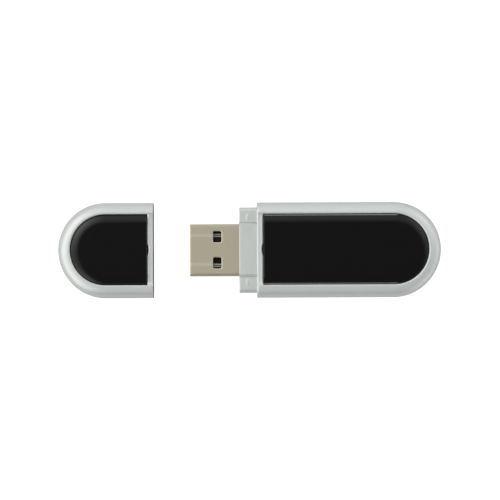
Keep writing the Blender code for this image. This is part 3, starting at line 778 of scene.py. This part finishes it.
def cells(tree, size, stretch=(1, 1, 1)):
    """A random value from 0 to 1 for each cell of about that size."""
    node = tree.nodes.new("ShaderNodeTexVoronoi")
    node.inputs["Scale"].default_value = 1 / size
    tree.links.new(place(tree, stretch), node.inputs["Vector"])
    split = tree.nodes.new("ShaderNodeSeparateColor")
    tree.links.new(node.outputs["Color"], split.inputs["Color"])
    return split.outputs["Red"]


def ranged(tree, value, low, high, from_low=0.0, from_high=1.0, soft=False):
    """The value mapped to a range, and kept in it."""
    node = tree.nodes.new("ShaderNodeMapRange")
    node.interpolation_type = "SMOOTHSTEP" if soft else "LINEAR"
    for socket, number in (
        ("From Min", from_low),
        ("From Max", from_high),
        ("To Min", low),
        ("To Max", high),
    ):
        node.inputs[socket].default_value = number
    tree.links.new(value, node.inputs["Value"])
    return node.outputs["Result"]


def maths(tree, operation, a, b):
    node = tree.nodes.new("ShaderNodeMath")
    node.operation = operation
    for socket, value in zip(node.inputs, (a, b)):
        if isinstance(value, (int, float)):
            socket.default_value = value
        else:
            tree.links.new(value, socket)
    return node.outputs["Value"]


def blended_value(tree, factor, low, high):
    """A number between two, by that factor. Either may be a number or a socket."""
    high_share = maths(tree, "MULTIPLY", factor, high)
    low_share = maths(tree, "MULTIPLY", maths(tree, "SUBTRACT", 1.0, factor), low)
    return maths(tree, "ADD", low_share, high_share)


def blended(tree, factor, low, high):
    """A colour between two, by that factor. Either may be a colour or a socket."""
    node = tree.nodes.new("ShaderNodeMix")
    node.data_type = "RGBA"
    tree.links.new(factor, node.inputs["Factor"])
    for socket, value in ((node.inputs[6], low), (node.inputs[7], high)):
        if isinstance(value, tuple):
            socket.default_value = (*value, 1.0)
        else:
            tree.links.new(value, socket)
    return node.outputs[2]


def bump(tree, shader, *heights):
    """Bumps laid over each other, each (height 0 to 1, size in metres)."""
    normal = None
    for height, distance in heights:
        node = tree.nodes.new("ShaderNodeBump")
        node.inputs["Strength"].default_value = 1.0
        node.inputs["Distance"].default_value = distance
        tree.links.new(height, node.inputs["Height"])
        if normal:
            tree.links.new(normal, node.inputs["Normal"])
        normal = node.outputs["Normal"]
    tree.links.new(normal, shader.inputs["Normal"])


def silver_paint():
    """Moulded plastic under a satin metallic lacquer: fine flakes and a faint orange peel."""
    mat, tree, shader = principled("silver_paint", Metallic=0.4, IOR=1.5)
    flakes = cells(tree, 0.05 * MM)
    clouds = noise(tree, 5 * MM, 3.0)
    base = blended(tree, flakes, (0.72, 0.755, 0.73), (0.80, 0.835, 0.81))
    shade = blended(tree, ranged(tree, clouds, 0.0, 0.5, 0.3, 0.75), base, (0.74, 0.775, 0.745))
    tree.links.new(shade, shader.inputs["Base Color"])
    tree.links.new(
        ranged(tree, noise(tree, 2 * MM, 3.0), 0.36, 0.42, 0.3, 0.7), shader.inputs["Roughness"]
    )
    bump(tree, shader, (noise(tree, 0.35 * MM, 1.0), 0.0012 * MM), (flakes, 0.0006 * MM))
    return mat


def gloss_black():
    """Polished black plastic, with a faint ripple and fine polishing marks."""
    mat, tree, shader = principled("gloss_black", IOR=1.5)
    haze = noise(tree, 3 * MM, 4.0, 0.6)
    tree.links.new(
        blended(tree, haze, (0.0014, 0.0014, 0.0013), (0.003, 0.003, 0.0027)),
        shader.inputs["Base Color"],
    )
    scuffs = noise(tree, 0.25 * MM, 2.0, 0.5, (1, 0.08, 1))
    marks = maths(tree, "MULTIPLY", ranged(tree, haze, 0.0, 1.0, 0.45, 0.8), scuffs)
    tree.links.new(ranged(tree, marks, 0.035, 0.1, 0.0, 0.6), shader.inputs["Roughness"])
    bump(tree, shader, (noise(tree, 2.5 * MM, 1.0), 0.003 * MM))
    return mat


def plug_steel():
    """Nickel-plated sheet with rolling lines, and rubbed tracks from the tip to the windows."""
    mat, tree, shader = principled("plug_steel", Metallic=1.0)
    lines = noise(tree, 0.09 * MM, 3.0, 0.6, (0.04, 1, 1))
    stains = noise(tree, 2.2 * MM, 3.0)
    base = blended(tree, lines, (0.585, 0.542, 0.41), (0.645, 0.6, 0.46))
    base = blended(tree, ranged(tree, stains, 0.0, 0.6, 0.35, 0.7), base, (0.625, 0.577, 0.44))
    coordinate = tree.nodes.new("ShaderNodeTexCoord")
    split = tree.nodes.new("ShaderNodeSeparateXYZ")
    tree.links.new(coordinate.outputs["Object"], split.inputs["Vector"])
    across = maths(tree, "ABSOLUTE", split.outputs["Y"], 0.0)
    off_track = maths(tree, "ABSOLUTE", maths(tree, "SUBTRACT", across, TRACK_V), 0.0)
    track = ranged(tree, off_track, 1.0, 0.0, TRACK_INNER, TRACK_OUTER)
    window_x = body_lo.x + WINDOW_U[0]
    ahead = ranged(tree, split.outputs["X"], 1.0, 0.0, window_x - 0.5 * MM, window_x + 0.3 * MM)
    rubbed = maths(tree, "MULTIPLY", maths(tree, "MULTIPLY", track, ahead), 0.55)
    base = blended(tree, rubbed, base, (0.76, 0.72, 0.6))
    tree.links.new(base, shader.inputs["Base Color"])
    tree.links.new(ranged(tree, lines, 0.44, 0.56, 0.3, 0.7), shader.inputs["Roughness"])
    bump(tree, shader, (lines, 0.0012 * MM), (noise(tree, 1.2 * MM, 1.0), 0.003 * MM))
    return mat


def moulded(name, dark, light, roughness, grain):
    """Matt moulded plastic or ceramic."""
    mat, tree, shader = principled(name)
    speckle = noise(tree, grain, 3.0)
    tree.links.new(
        blended(tree, ranged(tree, speckle, 0.0, 1.0, 0.3, 0.7), dark, light),
        shader.inputs["Base Color"],
    )
    tree.links.new(
        ranged(tree, speckle, roughness - 0.06, roughness + 0.06, 0.3, 0.7),
        shader.inputs["Roughness"],
    )
    bump(tree, shader, (speckle, 0.004 * MM))
    return mat


def plated(name, dark, light, roughness):
    """Bright metal with fine drawing lines."""
    mat, tree, shader = principled(name, Metallic=1.0)
    lines = noise(tree, 0.05 * MM, 2.0, 0.5, (0.05, 1, 1))
    tree.links.new(blended(tree, lines, dark, light), shader.inputs["Base Color"])
    worn = ranged(tree, lines, roughness - 0.05, roughness + 0.05, 0.3, 0.7)
    tree.links.new(worn, shader.inputs["Roughness"])
    bump(tree, shader, (lines, 0.0008 * MM))
    return mat


def board_green():
    """Solder mask over copper tracks, which show as a lighter and slightly raised green."""
    mat, tree, shader = principled("board_green", IOR=1.5)
    tracks = ranged(tree, cells(tree, 0.9 * MM, (1, 1, 0.01)), 0.0, 1.0, 0.48, 0.52)
    base = blended(tree, tracks, (0.008, 0.09, 0.035), (0.018, 0.17, 0.07))
    tree.links.new(base, shader.inputs["Base Color"])
    tree.links.new(ranged(tree, noise(tree, 1 * MM), 0.3, 0.42), shader.inputs["Roughness"])
    bump(tree, shader, (tracks, 0.01 * MM))
    return mat


MATERIALS = {
    "silver_plastic": silver_paint(),
    "gloss_black": gloss_black(),
    "plug_steel": plug_steel(),
    "insulator_black": moulded(
        "insulator_black", (0.007, 0.006, 0.005), (0.013, 0.012, 0.009), 0.5, 0.2 * MM
    ),
    "contact_gold": plated("contact_gold", (0.46, 0.38, 0.24), (0.54, 0.45, 0.29), 0.1),
    "board_green": board_green(),
    "chip_epoxy": moulded(
        "chip_epoxy", (0.014, 0.014, 0.015), (0.026, 0.026, 0.028), 0.55, 0.08 * MM
    ),
    "can_metal": plated("can_metal", (0.6, 0.6, 0.59), (0.7, 0.7, 0.69), 0.25),
    "capacitor_ceramic": moulded(
        "capacitor_ceramic", (0.36, 0.24, 0.14), (0.46, 0.33, 0.2), 0.5, 0.1 * MM
    ),
    "resistor_ceramic": moulded(
        "resistor_ceramic", (0.02, 0.02, 0.022), (0.04, 0.04, 0.04), 0.45, 0.1 * MM
    ),
    "film_white": moulded("film_white", (0.7, 0.7, 0.66), (0.8, 0.8, 0.76), 0.7, 0.4 * MM),
}
# A brighter metal band along the body panels' straight sides: a painted highlight of their rounded
# edges
PAINTED_EDGE_HIGHLIGHT = plated("edge_highlight_band", (0.4, 0.42, 0.41), (0.5, 0.52, 0.51), 0.2)
# Near-white metal on the contacts' sloping sides: a painted highlight, so they shine in the
# windows' shade
SHEARED_EDGE_HIGHLIGHT = plated("sheared_edge_highlight", (0.86, 0.83, 0.76), (0.96, 0.93, 0.87), 0.4)
# Brighter metal on the window rims: partly the punch's burnish, partly a painted highlight
PUNCHED_EDGE_HIGHLIGHT = plated("punched_edge_highlight", (0.82, 0.77, 0.64), (0.92, 0.87, 0.74), 0.3)
# Dark plastic: unpainted in the cavity, and painted shade in the lower recesses and on the cap's
# mouth
UNPAINTED_AND_SHADE_PLASTIC = moulded("unpainted_and_shade_plastic", (0.006, 0.006, 0.006), (0.011, 0.011, 0.01), 0.45, 0.3 * MM)


def show(node, mesh, matrix, slot, second=None, takes_second=None):
    """Shows the mesh in place of a CAD node, riding on that node's body.

    Faces for which takes_second(face) is true have the second material.
    """
    mesh.name = f"{node}_look"
    mesh.materials.clear()
    mesh.materials.append(MATERIALS[slot])
    if takes_second:
        mesh.materials.append(second)
        for face in mesh.polygons:
            face.material_index = int(takes_second(face))
    mesh.transform(matrix)
    mesh.shade_smooth()
    mesh.set_sharp_from_angle(angle=SHARP_ANGLE)
    obj = bpy.data.objects.new(f"{node}_look", mesh)
    bpy.context.scene.collection.objects.link(obj)
    weighted = obj.modifiers.new("weighted normals", "WEIGHTED_NORMAL")
    weighted.keep_sharp = True
    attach(obj, frame["nodes"][node]["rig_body"])
    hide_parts(node)


def unpainted_and_shaded_faces(length, shaded_mouth):
    """Picks a sleeve's dark faces: the cavity, as unpainted plastic, and the lower recesses and
    maybe the mouth, as painted shade.
    """
    centre = length - RADIUS

    def unpainted_and_shaded(face):
        u, v, h = face.center
        from_axis = math.hypot(max(u - centre, 0.0), v)
        # The recess's lower walls and floor: painted shade, darkening the gap around the panel and
        # the notch
        recess = from_axis < OPENING + WELD and u > END_BAR - NOTCH_DEPTH - WELD
        recess = recess and SEAT - WELD < abs(h) < SHADE_BELOW
        cavity = from_axis < RADIUS - SIDE_WALL + WELD and abs(h) < CAVITY_TALL + WELD
        # The mouth's end face: painted shade, where it is asked for
        mouth = u < MOUTH_ROUNDING
        return (mouth and shaded_mouth) or recess or (cavity and not mouth)

    return unpainted_and_shaded


def edge_highlight_band(length):
    """Picks a narrow band along a panel's long straight sides, whose brighter metal is a painted
    highlight of its rounded edge.
    """
    straight_to = length - RADIUS + 1 * MM

    def highlighted(face):
        beside = HIGHLIGHT_FROM < OPENING - FIT - abs(face.center.y) < HIGHLIGHT_TO
        return beside and END_BAR + 0.5 * MM < face.center.x < straight_to

    return highlighted


# The object

# Body and cap
body_housing = cut(sleeve("body", BODY_LENGTH), *snap_pockets())
unpainted_and_shaded = unpainted_and_shaded_faces(BODY_LENGTH, shaded_mouth=False)
show("body_sleeve", body_housing, BODY, "silver_plastic", UNPAINTED_AND_SHADE_PLASTIC, unpainted_and_shaded)

# The cap's mouth end face is dark as painted shade; the body's stays silver
unpainted_and_shaded = unpainted_and_shaded_faces(CAP_LENGTH, shaded_mouth=True)
show("cap_sleeve", sleeve("cap", CAP_LENGTH), CAP, "silver_plastic", UNPAINTED_AND_SHADE_PLASTIC, unpainted_and_shaded)

for label, length, matrix in (("body", BODY_LENGTH, BODY), ("cap", CAP_LENGTH, CAP)):
    for face, turn in (("top", Matrix.Identity(4)), ("bottom", OVER)):
        panel = f"{label}_{face}_panel"
        # Only the body's panels get the band of painted highlight
        highlighted = edge_highlight_band(length) if label == "body" else None
        show(panel, inlay(panel, length), matrix @ turn, "gloss_black", PAINTED_EDGE_HIGHLIGHT, highlighted)

# Carrier and plug
show("carrier_cover", carrier_cover(), BODY, "silver_plastic")
show("carrier_base", carrier_base(), BODY @ OVER, "silver_plastic")
show("plug_shell", plug_shell(), BODY, "plug_steel", PUNCHED_EDGE_HIGHLIGHT, punched_edge_highlight)
contact_names = ("contact_power", "contact_data_minus", "contact_data_plus", "contact_ground")
to_body = BODY.inverted()
contact_boxes = [tuple(to_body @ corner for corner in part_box(name)) for name in contact_names]
show("plug_insulator", plug_insulator(contact_boxes), BODY, "insulator_black")
for name, (low, high) in zip(contact_names, contact_boxes):
    middle, flat_half = (low.y + high.y) / 2, (high.y - low.y) / 2 - SHEARED_WIDTH

    # The sloping sides take the near-white metal: a painted highlight
    def sheared_highlight(face):
        return abs(face.center.y - middle) > flat_half + WELD

    show(name, contact(name, low, high), BODY, "contact_gold", SHEARED_EDGE_HIGHLIGHT, sheared_highlight)

# The parts sealed inside keep their CAD shapes
for name, node in frame["nodes"].items():
    if not node.hide_render:
        slot = node.material_slots[0].material.name
        node.material_slots[0].material = MATERIALS[slot.split(".")[0]]


# Studio


def direction(tilt, bearing):
    """The unit vector towards a place in the sky."""
    tilt, bearing = math.radians(tilt), math.radians(bearing)
    flat = math.sin(tilt)
    return (flat * math.cos(bearing), flat * math.sin(bearing), math.cos(tilt))


def floor():
    """Pale paper, whiter to the camera than to the object, and clear from below."""
    bm = bmesh.new()
    bmesh.ops.create_grid(bm, x_segments=FLOOR_STEPS, y_segments=FLOOR_STEPS, size=FLOOR_SIZE)
    mesh = bpy.data.meshes.new("floor")
    bm.to_mesh(mesh)
    bm.free()
    obj = bpy.data.objects.new("floor", mesh)
    obj.location.z = -FLOOR_BELOW
    bpy.context.scene.collection.objects.link(obj)
    mat = bpy.data.materials.new("floor_paper")
    mat.use_nodes = True
    tree = mat.node_tree
    shader = tree.nodes["Principled BSDF"]
    grain = noise(tree, 1.5 * MM, 2.0)
    tree.links.new(
        blended(tree, grain, (0.30, 0.30, 0.30), (0.34, 0.34, 0.34)), shader.inputs["Base Color"]
    )
    shader.inputs["Roughness"].default_value = 0.9
    shader.inputs["Emission Color"].default_value = (1, 1, 1, 1)
    seen = tree.nodes.new("ShaderNodeLightPath").outputs["Is Camera Ray"]
    glow = maths(tree, "ADD", maths(tree, "MULTIPLY", seen, FLOOR_WHITENING), FLOOR_GLOW)
    tree.links.new(glow, shader.inputs["Emission Strength"])
    clear = tree.nodes.new("ShaderNodeBsdfTransparent")
    sides = tree.nodes.new("ShaderNodeMixShader")
    geometry = tree.nodes.new("ShaderNodeNewGeometry")
    tree.links.new(geometry.outputs["Backfacing"], sides.inputs["Fac"])
    tree.links.new(shader.outputs["BSDF"], sides.inputs[1])
    tree.links.new(clear.outputs["BSDF"], sides.inputs[2])
    tree.links.new(sides.outputs["Shader"], tree.nodes["Material Output"].inputs["Surface"])
    mesh.materials.append(mat)


def surroundings():
    """A room lit by softboxes all round, with a dark patch overhead beside the camera."""
    world = bpy.data.worlds.new("studio")
    bpy.context.scene.world = world
    world.use_nodes = True
    tree = world.node_tree
    coordinate = tree.nodes.new("ShaderNodeTexCoord")

    def along(way):
        node = tree.nodes.new("ShaderNodeVectorMath")
        node.operation = "DOT_PRODUCT"
        node.inputs[1].default_value = way
        tree.links.new(coordinate.outputs["Generated"], node.inputs[0])
        return node.outputs["Value"]

    boxes = 0.0
    for tilt, bearing, strength in SOFTBOXES:
        aim = maths(tree, "MAXIMUM", along(direction(tilt, bearing)), 0.0)
        glow = maths(tree, "MULTIPLY", maths(tree, "POWER", aim, SOFTBOX_FOCUS), strength)
        boxes = maths(tree, "ADD", glow, boxes)
    near, far = (math.cos(math.radians(angle)) for angle in PATCH_EDGE)
    outside = ranged(tree, along(direction(*DARK_PATCH)), 1.0, 0.0, far, near, True)
    light = blended_value(tree, outside, PATCH_LIGHT, boxes)
    above_horizon = ranged(tree, along((0, 0, 1)), 0.0, 1.0, *HORIZON)
    light = maths(tree, "MULTIPLY", light, above_horizon)
    seen = tree.nodes.new("ShaderNodeLightPath").outputs["Is Camera Ray"]
    background = tree.nodes["Background"]
    background.inputs["Color"].default_value = (1, 1, 1, 1)
    tree.links.new(maths(tree, "MAXIMUM", light, seen), background.inputs["Strength"])


def camera():
    """A long lens, almost straight above."""
    data = bpy.data.cameras.new("camera")
    data.lens = CAMERA_LENS
    data.sensor_width = 36.0
    data.clip_start, data.clip_end = 0.1, 10.0
    obj = bpy.data.objects.new("camera", data)
    turn = Euler(CAMERA_TURN).to_matrix().transposed().to_4x4()
    obj.matrix_world = Matrix.Translation(CAMERA_PLACE) @ turn
    bpy.context.scene.collection.objects.link(obj)
    bpy.context.scene.camera = obj


floor()
surroundings()
camera()
bpy.context.scene.view_settings.view_transform = "Standard"
